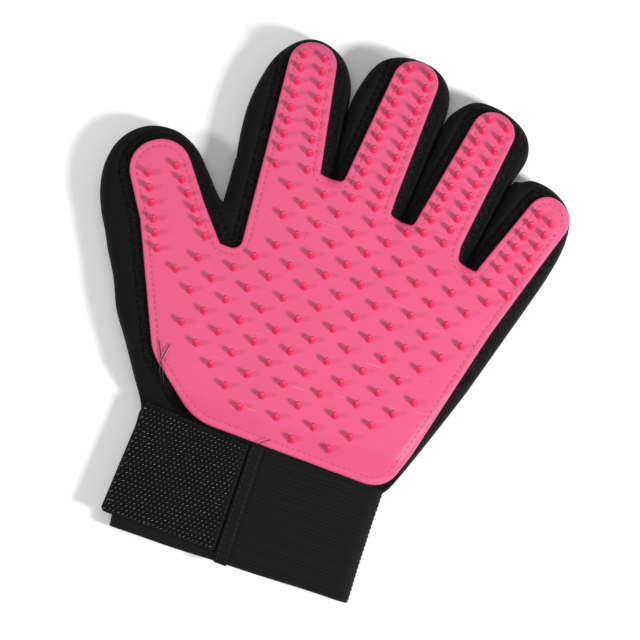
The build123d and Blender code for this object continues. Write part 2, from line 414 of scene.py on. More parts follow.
def fill(outline, lines, clouds, gap):
    """Triangles inside an outline that follow the lines and use the clouds of points."""
    vertices, edges = [], []
    for line in lines:
        first = len(vertices)
        vertices += [Vector(p) for p in line]
        edges += [(first + k, first + k + 1) for k in range(len(line) - 1)]
    first = len(vertices)
    vertices += [Vector(p) for p in outline]
    loop = list(range(first, len(vertices)))
    fixed = [tuple(v) for v in vertices]
    loose = thin_out([fixed] + clouds, gap)
    fixed_kept = set(fixed)
    vertices += [Vector(p) for p in loose if p not in fixed_kept]
    result = delaunay_2d_cdt(vertices, edges, [loop], 1, 1e-4)
    points = np.array([tuple(v) for v in result[0]])
    triangles = np.array([f for f in result[2] if len(f) == 3])
    a, b, c = (points[triangles[:, k]] for k in range(3))
    area = (b[:, 0] - a[:, 0]) * (c[:, 1] - a[:, 1]) - (b[:, 1] - a[:, 1]) * (c[:, 0] - a[:, 0])
    triangles[area < 0] = triangles[area < 0][:, ::-1]
    triangles = triangles[np.abs(area) > 1e-5]
    return points, triangles


def base_line(name, left, right):
    """The hinge line of a finger, drawn across the shape that it cuts."""
    return spaced([on_palm(name, left, 0), on_palm(name, right, 0)], 1.5, closed=False)


SHARP_ANGLE = math.radians(62)


def new_piece(name, points, faces):
    """An object from pattern points and faces."""
    mesh = bpy.data.meshes.new(name)
    mesh.from_pydata(to_frame(points).tolist(), [], [list(map(int, f)) for f in faces])
    mesh.update()
    mesh.shade_smooth()
    mesh.set_sharp_from_angle(angle=SHARP_ANGLE)
    piece = bpy.data.objects.new(name, mesh)
    bpy.context.scene.collection.objects.link(piece)
    return piece


def only_used(points, faces):
    """Points and faces with the unused points left out."""
    faces = [list(face) for face in faces]
    used = sorted({int(i) for face in faces for i in face})
    number = {old: new for new, old in enumerate(used)}
    return np.asarray(points)[used], [[number[int(i)] for i in face] for face in faces]


def well_inside(clouds, outline, margin):
    """The points of each cloud that lie inside an outline and clear of its edge."""
    kept = []
    for cloud in clouds:
        cloud = cloud[inside(cloud, outline)]
        gap, _ = nearest(cloud, outline)
        kept.append([tuple(p) for p in cloud[gap > margin]])
    return kept


def solid_sheet(flat, over, under, faces):
    """A solid sheet from flat triangles: top, underside, and walls round the open sides."""
    number = len(flat)
    points = np.vstack([np.column_stack([flat, over]), np.column_stack([flat, under])])
    edges = {}
    for face in faces:
        for a, b in ((face[0], face[1]), (face[1], face[2]), (face[2], face[0])):
            edges[(a, b)] = True
    walls = [(b, a, a + number, b + number) for a, b in edges if (b, a) not in edges]
    return only_used(points, [list(f) for f in faces] + [list(f[::-1] + number) for f in faces] + walls)


def tube_faces(first, rings_made, sides):
    """Quads between rings of points that follow one another, starting at a point's number."""
    faces = []
    for ring in range(rings_made - 1):
        for k in range(sides):
            a = first + ring * sides + k
            b = first + ring * sides + (k + 1) % sides
            faces.append((a, b, b + sides, a + sides))
    return faces


def capped_tube(first, rings_made, sides):
    """A tube's quads with a flat cap on each end."""
    last = first + (rings_made - 1) * sides
    start_cap = tuple(range(first, first + sides))[::-1]
    end_cap = tuple(range(last, last + sides))
    return tube_faces(first, rings_made, sides) + [start_cap, end_cap]


def settle(piece):
    """Applies the piece's modifiers for good."""
    graph = bpy.context.evaluated_depsgraph_get()
    mesh = bpy.data.meshes.new_from_object(piece.evaluated_get(graph))
    piece.modifiers.clear()
    piece.data = mesh
    return piece


BEND_REACH = 11.0


def bend(piece, name):
    """Bakes a finger's piece in place, unattached; two points along its hinge line are worked out but not
    used.
    """
    start, end = on_palm(name, 0, 0), on_palm(name, 0, BEND_REACH)
    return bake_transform(piece)


def ride_or_bend(piece, name):
    """The palm's pieces ride on the hand; a finger's are baked in place."""
    if name == "palm":
        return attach(piece, "hand")
    return bend(piece, name)


# %% [markdown]
# ## Shader writing in Python
# Materials are easier to read as sums than as a web of nodes. A small class wraps one output socket
# and turns +, -, * and / into Math nodes; everything else comes from one `node` method.

# %% Shader helper
class Value:
    """One socket of a material, which can be used in Python expressions."""

    def __init__(self, shader, socket):
        self.shader, self.socket = shader, socket

    def calculate(self, operation, *others):
        values = dict(enumerate((self,) + others))
        return self.shader.node("ShaderNodeMath", {"operation": operation}, values)

    def __add__(self, other):
        return self.calculate("ADD", other)

    def __radd__(self, other):
        return self.calculate("ADD", other)

    def __mul__(self, other):
        return self.calculate("MULTIPLY", other)

    def __rmul__(self, other):
        return self.calculate("MULTIPLY", other)

    def __sub__(self, other):
        return self.calculate("SUBTRACT", other)

    def __rsub__(self, other):
        return (self * -1.0) + other

    def __truediv__(self, other):
        return self.calculate("DIVIDE", other)

    def __pow__(self, other):
        return self.calculate("POWER", other)

    def sine(self):
        return self.calculate("SINE")

    def clamped(self, low, high):
        values = {"Value": self, "From Min": low, "From Max": high}
        return self.shader.node("ShaderNodeMapRange", {"clamp": True}, values)


class Shader:
    """A material under construction, with its Principled shader."""

    def __init__(self, name, **constants):
        self.material = bpy.data.materials.new(name)
        self.material.use_nodes = True
        self.tree = self.material.node_tree
        self.principled = self.tree.nodes["Principled BSDF"]
        for socket, value in constants.items():
            self.principled.inputs[socket.replace("_", " ")].default_value = value

    def link(self, value, socket):
        if isinstance(value, Value):
            self.tree.links.new(value.socket, socket)
        else:
            socket.default_value = value

    def node(self, kind, settings, inputs, output=0):
        made = self.tree.nodes.new(kind)
        for key, value in settings.items():
            setattr(made, key, value)
        for key, value in inputs.items():
            self.link(value, made.inputs[key])
        return Value(self, made.outputs[output])

    def place(self):
        """Object coordinates, in metres."""
        return self.node("ShaderNodeTexCoord", {}, {}, "Object")

    def noise(self, where, scale, detail=2.0):
        return self.node("ShaderNodeTexNoise", {}, {"Vector": where, "Scale": scale, "Detail": detail})

    def cells(self, where, scale, feature="F1"):
        return self.node(
            "ShaderNodeTexVoronoi", {"feature": feature}, {"Vector": where, "Scale": scale}, "Distance"
        )

    def scaled(self, where, sizes, turn=0.0):
        settings = {"vector_type": "POINT"}
        values = {"Vector": where, "Rotation": (0.0, 0.0, turn), "Scale": sizes}
        return self.node("ShaderNodeMapping", settings, values)

    def blend(self, share, first, second):
        settings = {"data_type": "RGBA"}
        mixed = self.tree.nodes.new("ShaderNodeMix")
        for key, value in settings.items():
            setattr(mixed, key, value)
        self.link(share, mixed.inputs[0])
        self.link(first, mixed.inputs[6])
        self.link(second, mixed.inputs[7])
        return Value(self, mixed.outputs[2])

    def part(self, where, axis):
        return self.node("ShaderNodeSeparateXYZ", {}, {"Vector": where}, axis)

    def finish(self, colour=None, roughness=None, height=None, depth=0.0002):
        if colour is not None:
            self.link(colour, self.principled.inputs["Base Color"])
        if roughness is not None:
            self.link(roughness, self.principled.inputs["Roughness"])
        if height is not None:
            bump = self.node("ShaderNodeBump", {}, {"Height": height, "Distance": depth, "Strength": 1.0})
            self.link(bump, self.principled.inputs["Normal"])
        return self.material


def coloured(r, g, b):
    """A linear colour as a shader wants it."""
    return (r, g, b, 1.0)


# %% [markdown]
# ## Pink rubber
# Moulded silicone-like rubber is satin: broad soft highlights over a faint, cloudy unevenness. Light
# goes a little way into it, which keeps its shadows warm, so it gets a small subsurface weight. Handling
# leaves fine pale scratches, and lint leaves dark specks; both are thresholds on noise. The pins are
# painted a deeper, more saturated red than the sheet. This is a painted glow for light that passes through
# them and bounces in their shaded sides. The same mask also makes them glossier.

# %% Pink rubber
def pink_rubber():
    shader = Shader("pink_rubber", Subsurface_Weight=0.12, Subsurface_Scale=0.003, Specular_IOR_Level=0.38)
    shader.principled.inputs["Subsurface Radius"].default_value = (1.0, 0.25, 0.3)
    where = shader.place()
    cloud = shader.noise(where, 45.0, 3.0)
    grain = shader.noise(where, 900.0, 2.0)
    pin_painted_glow_and_gloss = shader.node("ShaderNodeAttribute", {"attribute_name": "pin_painted_glow_and_gloss"}, {}, "Fac")
    speck = 1 - shader.cells(where, 260.0).clamped(0.045, 0.085)
    rare = shader.noise(where, 70.0, 0.0).clamped(0.56, 0.64)
    drawn_out = shader.scaled(where, (40.0, 900.0, 900.0), 0.9)
    scratched = shader.noise(drawn_out, 1.0, 1.0).clamped(0.72, 0.80)
    colour = shader.blend(cloud, coloured(0.59, 0.062, 0.160), coloured(0.65, 0.080, 0.200))
    colour = shader.blend(scratched * 0.25, colour, coloured(0.92, 0.30, 0.42))
    colour = shader.blend(speck * rare * 0.85, colour, coloured(0.10, 0.01, 0.03))
    # Painted glow: the pins are the same rubber as the sheet, but they get a deeper, more saturated red that
    # stands in for light passing through them and bouncing in their shaded sides.
    colour = shader.blend(pin_painted_glow_and_gloss, colour, coloured(0.70, 0.028, 0.115))
    roughness = 0.40 + 0.12 * cloud + 0.05 * grain - 0.16 * pin_painted_glow_and_gloss
    height = grain * 0.35 + cloud * 0.5 + scratched * 0.3
    return shader.finish(colour, roughness, height, 0.00012)


# %% [markdown]
# ## Black cloths
# The back and sides are a smooth, close knit over thin foam: nearly black, quite matt, with a faint
# fuzz that lifts the colour at grazing angles, which is what sheen is for. The palm side beside the pad
# is an open mesh knit, so its bump is a pattern of small cells with paler yarn on top.

# %% Smooth cloth and mesh cloth
def smooth_cloth():
    shader = Shader("black_cloth", Sheen_Weight=0.02, Sheen_Roughness=0.5, Specular_IOR_Level=0.05)
    where = shader.place()
    cloud = shader.noise(where, 60.0, 3.0)
    rows = (shader.part(where, 1) * 5200.0 + cloud * 3.0).sine()
    loops = (shader.part(where, 0) * 5200.0).sine()
    knit = rows * loops * 0.5 + 0.5
    fuzz = shader.noise(where, 2200.0, 2.0)
    dark, pale = coloured(0.0030, 0.0030, 0.0030), coloured(0.0095, 0.0095, 0.0093)
    colour = shader.blend(knit * 0.5 + fuzz * 0.5, dark, pale)
    roughness = 0.78 + 0.15 * cloud
    return shader.finish(colour, roughness, knit * 0.6 + fuzz * 0.7, 0.00014)


def mesh_cloth():
    shader = Shader("black_mesh", Sheen_Weight=0.005, Specular_IOR_Level=0.05)
    where = shader.place()
    cells = shader.cells(where, 950.0)
    fuzz = shader.noise(where, 1500.0, 2.0)
    yarn = cells.clamped(0.25, 0.6)
    dark, pale = coloured(0.0025, 0.0025, 0.0025), coloured(0.0062, 0.0062, 0.0060)
    colour = shader.blend(yarn * (0.35 + fuzz), dark, pale)
    roughness = 0.85 - 0.3 * yarn
    return shader.finish(colour, roughness, yarn + fuzz * 0.3, 0.00022)


# %% [markdown]
# ## Webbing, hook tape and thread
# Elastic webbing shows its rubber cords as ribs, which are real geometry here, so its shader only adds
# the fine threads across them. Hook tape is a glossy nylon. Sewing thread is a two-ply twist, so its
# bump is a slanted stripe.

# %% Webbing, tape and thread
def webbing(name, across_ribs, along_ribs, light):
    shader = Shader(name, Sheen_Weight=0.01, Specular_IOR_Level=0.09)
    where = shader.place()
    fuzz = shader.noise(where, 1800.0, 2.0)
    threads = (shader.part(where, 0) * across_ribs).sine() * 0.5 + 0.5
    courses = (shader.part(where, 1) * along_ribs).sine() * 0.5 + 0.5
    weave = threads * courses
    cloud = shader.noise(where, 40.0, 2.0)
    dark, pale = coloured(0.003, 0.003, 0.003), coloured(light, light, light * 0.96)
    colour = shader.blend(weave * 0.6 + fuzz * 0.4, dark, pale)
    return shader.finish(colour, 0.62 + 0.2 * cloud, weave * 0.7 + fuzz * 0.5, 0.00018)


def nylon(name, light, rough, gloss):
    shader = Shader(name, Specular_IOR_Level=gloss)
    where = shader.place()
    fuzz = shader.noise(where, 1500.0, 2.0)
    cloud = shader.noise(where, 60.0, 2.0)
    colour = shader.blend(fuzz, coloured(0.004, 0.004, 0.004), coloured(light, light, light))
    return shader.finish(colour, rough + 0.2 * cloud, fuzz, 0.0001)


def thread(name, colour_low, colour_high, rough):
    shader = Shader(name)
    where = shader.place()
    slant = shader.part(where, 0) + shader.part(where, 1)
    twist = (slant * 9000.0).sine() * 0.5 + 0.5
    fuzz = shader.noise(where, 2500.0, 1.0)
    colour = shader.blend(twist * 0.6 + fuzz * 0.4, colour_low, colour_high)
    return shader.finish(colour, rough + 0.1 * fuzz, twist, 0.00008)


FINISH = {
    "rubber": pink_rubber(),
    "cloth": smooth_cloth(),
    "mesh": mesh_cloth(),
    "elastic": webbing("black_elastic", 9000.0, 4000.0, 0.012),
    "strap": webbing("strap_webbing", 5200.0, 5200.0, 0.010),
    "tape": nylon("hook_tape_ground", 0.005, 0.7, 0.08),
    "hooks": nylon("hook_nylon", 0.008, 0.12, 0.75),
    "black_thread": thread("black_thread", coloured(0.002, 0.002, 0.002), coloured(0.011, 0.011, 0.011), 0.6),
    "pink_thread": thread("pink_thread", coloured(0.40, 0.030, 0.085), coloured(0.66, 0.12, 0.24), 0.6),
}


def dress(piece, finish):
    """Gives a piece its material."""
    piece.data.materials.clear()
    piece.data.materials.append(FINISH[finish])
    return piece


print("finishes:", sorted(FINISH))

# %% [markdown]
# ## The cloth glove
# On the real glove the smooth cloth wraps round from the back to the palm side, and a puckered seam
# joins it to the mesh cloth that carries the pad. The whole hand is meshed once in the flat, raised to
# a palm side and a back side, and only then shared out between pieces, so neighbouring pieces meet
# point for point along the seam and along each finger's hinge.

# %% Cloth in the flat
SEAM_OFFSET = 4.8
SEAM_WIDTH = 0.75
PUCKER_PITCH = 3.4
WRIST_LINE = 58
HINGE_SPANS = {
    "thumb": (-29, 27),
    "index": (-25, 23.5),
    "middle": (-19, 19),
    "ring": (-18.5, 18.5),
    "little": (-17, 19),
}

seam_line = beside(pad_outline, -SEAM_OFFSET)
seam_gap, _ = nearest(seam_line, pad_outline)
seam_edge, _ = nearest(seam_line, side_edge, closed=False)
on_cloth = (seam_gap > SEAM_OFFSET - 0.06) & (seam_edge > 1.6) & inside(seam_line, cloth_outline)
on_cloth &= seam_line[:, 1] > WRIST_LINE
seam_runs, run = [], []
for point, good in zip(seam_line, on_cloth):
    if good:
        run.append(point)
    elif run:
        seam_runs.append(run)
        run = []
if run:
    seam_runs.append(run)
seam_runs = [run for run in seam_runs if len(run) > 4]


def rings(outline, offsets, keep_gap):
    """Points at set distances beside an outline, kept only where they are truly that far."""
    found = []
    for offset in offsets:
        points = beside(outline, offset)
        gap, _ = nearest(points, outline)
        found.append(points[gap > abs(offset) * keep_gap])
    return found


edge_rings = rings(cloth_outline, (0.25, 0.8, 1.6, 2.6, 3.8, 5.2), 0.96)
seam_rings = rings(pad_outline, (-3.6, -4.2, -5.4, -6.0, -7.0), 0.97)
grid = hexagonal(cloth_outline.min(0), cloth_outline.max(0), 1.7)
cloth_clouds = well_inside(edge_rings + seam_rings + [grid], cloth_outline, 0.2)
hinge_lines = [base_line(name, *HINGE_SPANS[name]) for name in FINGER_NAMES]
flat_points, flat_faces = fill(cloth_outline, hinge_lines + seam_runs, cloth_clouds, 0.62)
print("cloth in the flat:", len(flat_points), "points,", len(flat_faces), "triangles")
print("seam runs:", len(seam_runs))

# %% [markdown]
# ## Raising the cloth
# The palm side gets the seam's groove, pulled deeper at every stitch so that the cloth puckers, and
# broad soft wrinkles outside it. The pucker follows the distance travelled along the seam, which the
# nearest-place measure already gives.

# %% Palm side and back side
pad_gap, pad_travel = nearest(flat_points, pad_outline)
under_pad = inside(flat_points, pad_outline)
pad_gap[under_pad] *= -1
edge_gap, _ = nearest(flat_points, side_edge, closed=False)

top = palm_height(flat_points, CLOTH_HEEL)
groove = np.exp(-(((pad_gap - SEAM_OFFSET) / SEAM_WIDTH) ** 2))
stitch_pull = 0.5 + 0.5 * np.cos(2 * math.pi * pad_travel / PUCKER_PITCH)
flank = np.exp(-(((pad_gap - SEAM_OFFSET - 1.9) / 1.5) ** 2))
away = smoothstep(pad_gap, 0.5, 3.0) * smoothstep(edge_gap, 0.3, 2.5)
outer_wrinkle = smoothstep(pad_gap, SEAM_OFFSET, SEAM_OFFSET + 4)
top -= away * groove * (0.55 + 0.75 * stitch_pull)
top += away * flank * (0.30 - 0.45 * stitch_pull)
top += away * outer_wrinkle * (0.45 * ripple(flat_points, 6.0, 3) + 0.35 * ripple(flat_points, 13.0, 4))
top -= 0.4 * (1 - smoothstep(pad_gap, -3.0, -0.8))
bottom = back_height(flat_points)
bottom += (1 - bulge(edge_gap, BACK_ROUNDING)) * 0.8 * ripple(flat_points, 9.0, 5)

shell_points = np.vstack([np.column_stack([flat_points, top]), np.column_stack([flat_points, bottom])])
count = len(flat_points)
outline_gap = edge_gap < 1e-3
is_mesh = (pad_gap[flat_faces].mean(1) < SEAM_OFFSET) & (edge_gap[flat_faces].min(1) > 0.15)
top_faces, bottom_faces = flat_faces, flat_faces[:, ::-1] + count
rim = np.where(outline_gap)[0]
twin = np.arange(2 * count)
twin[rim + count] = rim
bottom_faces = twin[bottom_faces]

middles = flat_points[flat_faces].mean(1)
owner = np.full(len(flat_faces), "palm", dtype=object)
for name in FINGER_NAMES:
    base, across, along = hinges[name]
    owner[inside(middles, finger_edges[name]) & ((middles - base) @ along > 0)] = name
print({name: int((owner == name).sum()) for name in ("palm",) + FINGER_NAMES})

# %% Cloth pieces
CLOTH_THICKNESS = 1.1


def cloth_piece(name, faces):
    """A piece of cloth with real thickness, grown inwards from its outer face."""
    points, faces = only_used(shell_points, faces)
    piece = new_piece(name, points, faces)
    thick = piece.modifiers.new("cloth", "SOLIDIFY")
    thick.thickness = CLOTH_THICKNESS * MM
    thick.offset = -1.0
    settle(piece)
    piece.data.shade_smooth()
    piece.data.set_sharp_from_angle(angle=SHARP_ANGLE)
    return piece


for name in ("palm",) + FINGER_NAMES:
    mine = owner == name
    back = cloth_piece(f"cloth_back_{name}", np.vstack([bottom_faces[mine], top_faces[mine & ~is_mesh]]))
    dress(back, "cloth")
    front = cloth_piece(f"mesh_front_{name}", top_faces[mine & is_mesh])
    dress(front, "mesh")
    for piece, node in ((back, f"back_{name}"), (front, f"mesh_{name}")):
        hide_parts(node)
        ride_or_bend(piece, name)
    print(name, "cloth:", len(back.data.polygons), "mesh:", len(front.data.polygons))

# %% [markdown]
# ## The rubber pad's sheet
# The pad is one casting two millimetres thick with a rounded edge, and a shallow channel three
# millimetres in, where it is sewn down. It lies on the cloth, so its height is the cloth's own height
# plus its thickness, and it droops a little over the heel.

# %% Pad in the flat
EDGE_ROUNDING = 0.7
STITCH_INSET = 3.0
pad_lines = [base_line(name, LOBES[name][0] - 2.5, LOBES[name][1] + 2.5) for name in FINGER_NAMES]
pad_clouds = rings(pad_outline, (0.12, 0.35, 0.65, 0.95, 1.5, 2.2, 2.6, 3.0, 3.4, 3.8, 5.0), 0.96)
pad_clouds.append(hexagonal(pad_outline.min(0), pad_outline.max(0), 2.2))
pad_clouds = well_inside(pad_clouds, pad_outline, 0.1)
pad_points, pad_faces = fill(pad_outline, pad_lines, pad_clouds, 0.27)
inset, _ = nearest(pad_points, pad_outline)


def pad_rest(points):
    """Height of the pad's underside, lying on the cloth."""
    return palm_height(points, PAD_HEEL) + 0.15


pad_under = pad_rest(pad_points)
edge_share = np.clip(1 - inset / EDGE_ROUNDING, 0, 1)
thickness = PAD_THICKNESS - EDGE_ROUNDING * (1 - np.sqrt(np.maximum(1 - edge_share ** 2, 0)))
lip = 0.07 * np.exp(-(((inset - 1.2) / 0.7) ** 2))
channel = 0.16 * np.exp(-(((inset - STITCH_INSET) / 0.45) ** 2))
pad_over = pad_under + thickness + lip - channel
print("pad in the flat:", len(pad_points), "points,", len(pad_faces), "triangles")

# %% [markdown]
# ## Pins
# The pins are soft moulded pegs that lean towards the fingertips, with a flared root and a round tip.
# One peg is a lathed profile; copies of it stand in aligned pairs up the fingers and in staggered rows
# over the palm. They are part of the casting, so they join the sheet's mesh.

# %% One pin
PIN_PROFILE = [(1.75, -0.12), (1.50, 0.10), (1.32, 0.40), (1.23, 1.0), (1.17, 2.1), (1.10, 3.1),
               (1.00, 3.60), (0.76, 3.98), (0.40, 4.22)]
PIN_TOP = 4.3
PIN_LEAN = math.radians(12.0)
PIN_SIDES = 12


def pin_mesh():
    """Points and faces of one pin about its root, leaning to +Y."""
    points = []
    for radius, height in PIN_PROFILE:
        for k in range(PIN_SIDES):
            angle = 2 * math.pi * k / PIN_SIDES
            points.append((radius * math.cos(angle), radius * math.sin(angle), height))
    faces = tube_faces(0, len(PIN_PROFILE), PIN_SIDES)
    points.append((0, 0, PIN_TOP))
    last = (len(PIN_PROFILE) - 1) * PIN_SIDES
    for k in range(PIN_SIDES):
        faces.append((last + k, last + (k + 1) % PIN_SIDES, len(points) - 1))
    points = np.array(points)
    points[:, 1] += np.maximum(points[:, 2], 0) * math.tan(PIN_LEAN)
    return points, faces


# %% Where the pins stand
# For each finger: how many rows, and how far up the first and the last stand; the middle and the
# half spacing of its two columns at its base and at its last row; rows that run on into the palm.
PIN_COLUMNS = {
    "thumb": (3, 5.3, 18.5, (4.5, 4.3), (8.8, 6.4), [1.8, 8.0, 14.8]),
    "index": (8, 5.9, 48.2, (3.9, 3.7), (6.7, 4.6), [1.7]),
    "middle": (10, 4.7, 55.0, (-0.1, 0.9), (5.4, 4.9), [1.7, 7.8]),
    "ring": (10, 3.8, 54.8, (-0.4, 1.3), (4.8, 4.3), [2.9]),
    "little": (6, 4.8, 34.3, (2.5, 0.1), (4.8, 3.3), [2.6]),
}
LATTICE_START = np.array([-32.4, 108.7])
LATTICE_ALONG = np.array([16.0, 0.73])
LATTICE_DOWN = np.array([8.83, -6.82])
LATTICE_MIDDLE = np.array([-15.0, 110.0])
LATTICE_TAPER = 0.0006
ROW_GATHER = 0.0011
GATHER_START = 10.0
LATTICE_REACH = range(-12, 13)
PIN_FIELD = [
    (-22, 55.5), (-47, 61), (-82, 90), (-84, 102), (-95, 112), (-84, 124.5), (-66, 126),
    (-57, 139), (-59, 168), (-35, 169), (-31, 163), (3, 163.5), (23, 150.5), (36, 151.5),
    (48, 144), (43, 119), (33, 106), (30, 86), (2, 57),
]
pin_places = {name: [] for name in ("palm",) + FINGER_NAMES}
for name, (rows, first, last, middles, halves, into_palm) in PIN_COLUMNS.items():
    along = [first + (last - first) * row / (rows - 1) for row in range(rows)]
    for s in along + [-below for below in into_palm]:
        middle = middles[0] + (middles[1] - middles[0]) * s / last
        half = halves[0] + (halves[1] - halves[0]) * s / last
        pair = [on_palm(name, middle + side * half, s) for side in (-1, 1)]
        pin_places[name if s > 0 else "palm"] += pair
lattice = np.array([
    LATTICE_START + i * LATTICE_ALONG + j * LATTICE_DOWN
    for i in LATTICE_REACH for j in LATTICE_REACH
])
lattice = lattice[inside(lattice, PIN_FIELD)]
across, up = (lattice - LATTICE_MIDDLE).T
narrowing = LATTICE_TAPER * across * up
gathering = ROW_GATHER * np.maximum(up - GATHER_START, 0) ** 2
lattice = lattice - np.column_stack([narrowing, gathering])
pin_places["palm"] += list(lattice)
print("pins:", {name: len(places) for name, places in pin_places.items()})

# %% Pad pieces with their pins
random.seed(11)
one_pin, one_pin_faces = pin_mesh()
pad_edges = {}
for name in FINGER_NAMES:
    left, right, (t, s, radius) = LOBES[name]
    pad_edges[name] = np.array([on_palm(name, a, b) for a, b in (
        (left - 2.6, 0), (left - 2.6, 30), (t - radius - 3, s), (t - radius - 3, s + radius + 3),
        (t + radius + 3, s + radius + 3), (t + radius + 3, s), (right + 2.6, 30), (right + 2.6, 0))])
pad_middles = pad_points[pad_faces].mean(1)
pad_owner = np.full(len(pad_faces), "palm", dtype=object)
for name in FINGER_NAMES:
    pad_owner[inside(pad_middles, pad_edges[name])] = name

for name in ("palm",) + FINGER_NAMES:
    points, faces = solid_sheet(pad_points, pad_over, pad_under, pad_faces[pad_owner == name])
    parts = [points]
    total = len(points)
    places = np.array(pin_places[name])
    heights = pad_rest(places) + PAD_THICKNESS
    for (x, y), z in zip(places, heights):
        tilt = random.uniform(-0.05, 0.05)
        copy = one_pin * (1.0, 1.0, random.uniform(0.96, 1.03))
        copy[:, 0] += np.maximum(copy[:, 2], 0) * tilt
        parts.append(copy + (x, y, z))
        faces += [[i + total for i in face] for face in one_pin_faces]
        total += len(one_pin)
    pad = dress(new_piece(f"rubber_pad_{name}", np.vstack(parts), faces), "rubber")
    # Marks the pins' points. The rubber paints a deeper red there as a painted glow and lowers the roughness.
    pin_painted_glow_and_gloss = pad.data.attributes.new("pin_painted_glow_and_gloss", "FLOAT", "POINT")
    pin_painted_glow_and_gloss.data.foreach_set("value", [0.0] * len(points) + [1.0] * (total - len(points)))
    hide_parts(f"pad_{name}")
    ride_or_bend(pad, name)
    print("pad", name, len(pad.data.polygons), "faces")

# %% [markdown]
# ## Stitches
# A lockstitch shows as a row of short, plump dashes that dip at both ends. Each dash is a small bent
# capsule, because at this size a real little body of thread catches light in a way that a painted
# line never does.

# %% A row of stitches
DASH_SIDES = 6
# Along the dash, its fatness and its lift, as shares of the dash's length and radius.
DASH_PROFILE = [
    (-0.5, 0.35, -0.9), (-0.36, 0.9, -0.15), (0.0, 1.0, 0.25), (0.36, 0.9, -0.15), (0.5, 0.35, -0.9),
]


def capsule_row(name, places, directions, heights, length, radius):
    """Thread dashes at places on the pattern, each along its own direction."""
    points, faces = [], []
    for (x, y), (dx, dy), z in zip(places, directions, heights):
        first = len(points)
        for share, fat, lift in DASH_PROFILE:
            for k in range(DASH_SIDES):
                angle = 2 * math.pi * k / DASH_SIDES
                side = radius * fat * math.cos(angle)
                up = radius * fat * math.sin(angle) + radius * lift
                along_x = x + dx * share * length - dy * side
                along_y = y + dy * share * length + dx * side
                points.append((along_x, along_y, z + up))
        faces += capped_tube(first, len(DASH_PROFILE), DASH_SIDES)
    return new_piece(name, points, faces)


def along_line(line, pitch, closed=True):
    """Even places on a path and the direction of the path at each."""
    places = spaced(line, pitch, closed)
    ahead = np.roll(places, -1, axis=0) - np.roll(places, 1, axis=0)
    if not closed:
        ahead[0], ahead[-1] = places[1] - places[0], places[-1] - places[-2]
    return places, ahead / np.linalg.norm(ahead, axis=1)[:, None]


# %% Pad stitching
STITCH_PITCH = 2.6
STITCH_LENGTH = 1.7
STITCH_RADIUS = 0.23
STITCH_SINK = 0.06
inner = beside(pad_outline, STITCH_INSET)
gap, _ = nearest(inner, pad_outline)
inner = inner[gap > STITCH_INSET * 0.97]
stitch_places, stitch_ways = along_line(inner, STITCH_PITCH)
stitch_heights = pad_rest(stitch_places) + PAD_THICKNESS - STITCH_SINK
stitch_owner = np.full(len(stitch_places), "palm", dtype=object)
for name in FINGER_NAMES:
    stitch_owner[inside(stitch_places, pad_edges[name])] = name
for name in ("palm",) + FINGER_NAMES:
    mine = stitch_owner == name
    row = capsule_row(
        f"pad_stitches_{name}", stitch_places[mine], stitch_ways[mine], stitch_heights[mine],
        STITCH_LENGTH, STITCH_RADIUS)
    dress(row, "pink_thread")
    ride_or_bend(row, name)
print("pad stitches:", len(stitch_places))

# %% [markdown]
# ## The cuff
# The cuff is a flattened tube of webbing. Most of it is elastic, whose rubber cords make ribs that run
# round the wrist; the thumb side ends in a plain strap. Both are swept the same way: a path round the
# wrist times a row of points along the arm, with the ribs pressed into the outer face.

# %% Sweep a band
CUFF_HEIGHT = 11.0
WEBBING = 1.5
ELASTIC_END = -29.0
FOLD = CUFF_HEIGHT / 2


FOLD_RADIUS = FOLD - WEBBING / 2
BAND_STRAIGHT = CUFF_RIGHT - FOLD - ELASTIC_END
BAND_ARC = math.pi * (FOLD - WEBBING / 2)
BAND_BACK = CUFF_RIGHT - CUFF_LEFT - 2 * FOLD
BAND_WHOLE = 2 * BAND_ARC + BAND_BACK + BAND_STRAIGHT + (ELASTIC_END - CUFF_LEFT - FOLD)


def fold_place(middle_x, angle):
    """Place and outward direction on one of the cuff's two round folds."""
    turn = (math.cos(angle), math.sin(angle))
    return (middle_x + FOLD_RADIUS * turn[0], FOLD + FOLD_RADIUS * turn[1]), turn


def cuff_path(distance):
    """Place and outward direction in the cuff's cross-section, by distance from the front seam."""
    if distance < BAND_STRAIGHT:
        return (ELASTIC_END + distance, CUFF_HEIGHT - WEBBING / 2), (0, 1)
    distance -= BAND_STRAIGHT
    if distance < BAND_ARC:
        return fold_place(CUFF_RIGHT - FOLD, math.pi / 2 - distance / FOLD_RADIUS)
    distance -= BAND_ARC
    if distance < BAND_BACK:
        return (CUFF_RIGHT - FOLD - distance, WEBBING / 2), (0, -1)
    distance -= BAND_BACK
    if distance < BAND_ARC:
        return fold_place(CUFF_LEFT + FOLD, -math.pi / 2 - distance / FOLD_RADIUS)
    distance -= BAND_ARC
    return (CUFF_LEFT + FOLD + distance, CUFF_HEIGHT - WEBBING / 2), (0, 1)


